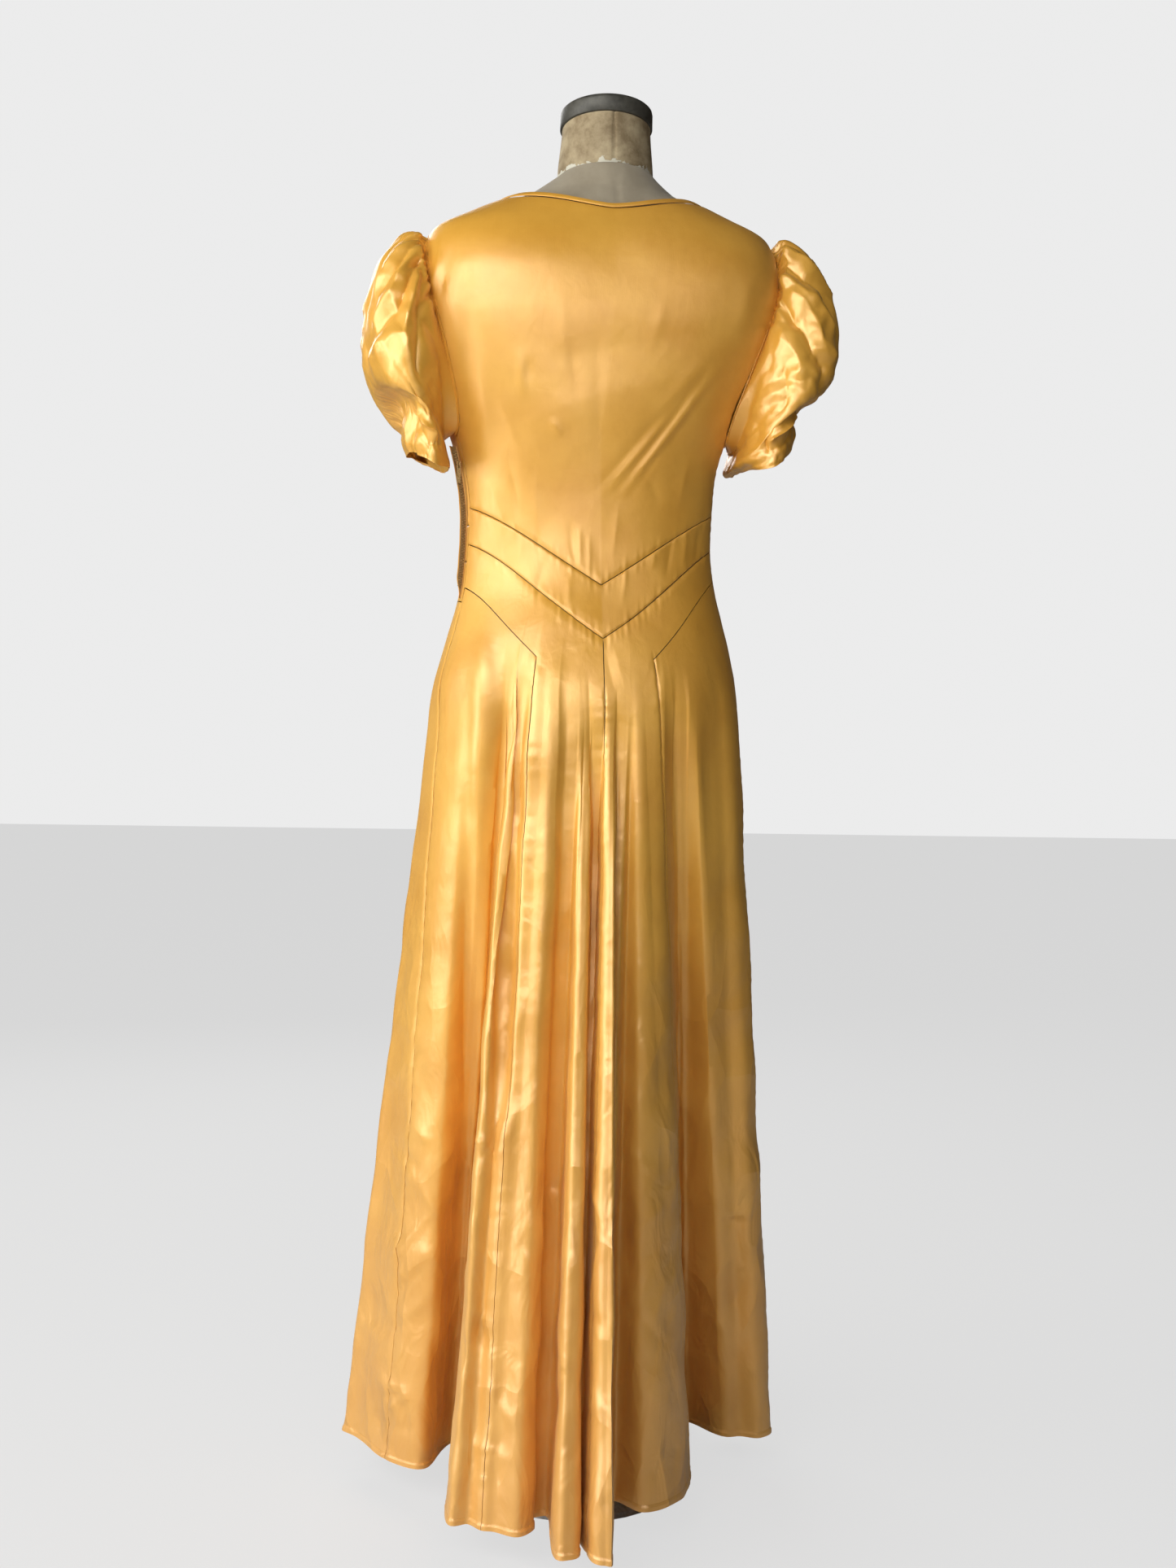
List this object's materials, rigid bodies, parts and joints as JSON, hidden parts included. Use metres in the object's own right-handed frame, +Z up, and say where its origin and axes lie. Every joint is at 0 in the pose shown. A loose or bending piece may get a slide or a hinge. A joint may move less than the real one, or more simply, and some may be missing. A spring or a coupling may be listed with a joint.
{
  "type": "evening gown on dress form",
  "caption": "Long satin evening gown with puff sleeves, pointed waist bands and a gored, fluted skirt, standing on a limbless dress form.",
  "frame": {"origin": "centre of the underside of the dress form's stand, on the floor", "axes": "+Z up; the gown's back faces -Y; +X towards the wearer's right side"},
  "size_m": [0.554, 0.6214, 1.6026],
  "materials": {
    "gold_satin": "satin",
    "form_linen": "plain weave linen",
    "form_canvas": "worn canvas",
    "form_metal": "dull grey",
    "zip_metal": "worn, dull"
  },
  "bodies": {
    "gown_on_form": {"form_torso": "form_linen", "form_neck": "form_canvas", "form_neck_cap": "form_metal", "form_pole": "form_metal", "form_base": "form_metal", "bodice_back": "gold_satin", "bodice_front": "gold_satin", "upper_band_back": "gold_satin", "upper_band_front": "gold_satin", "back_gore_side_left": "gold_satin", "back_gore_side_right": "gold_satin", "back_gore_centre_left": "gold_satin", "back_gore_centre_right": "gold_satin", "front_gore_side_left": "gold_satin", "front_gore_side_right": "gold_satin", "front_gore_centre": "gold_satin", "sleeve_left": "gold_satin", "sleeve_right": "gold_satin", "neck_binding": "gold_satin", "side_placket": "gold_satin", "zip_chain": "zip_metal", "zip_slider": "zip_metal"},
    "pull_tab": {"zip_pull_tab": "zip_metal"}
  },
  "joints": [
    {"name": "pull_tab_hinge", "type": "hinge", "parent": "gown_on_form", "child": "pull_tab", "pos_m": [-0.15892, -0.022, 1.17465], "axis": [-0.9876, -0.1569, 0], "range_deg": [0, 140]}
  ]
}
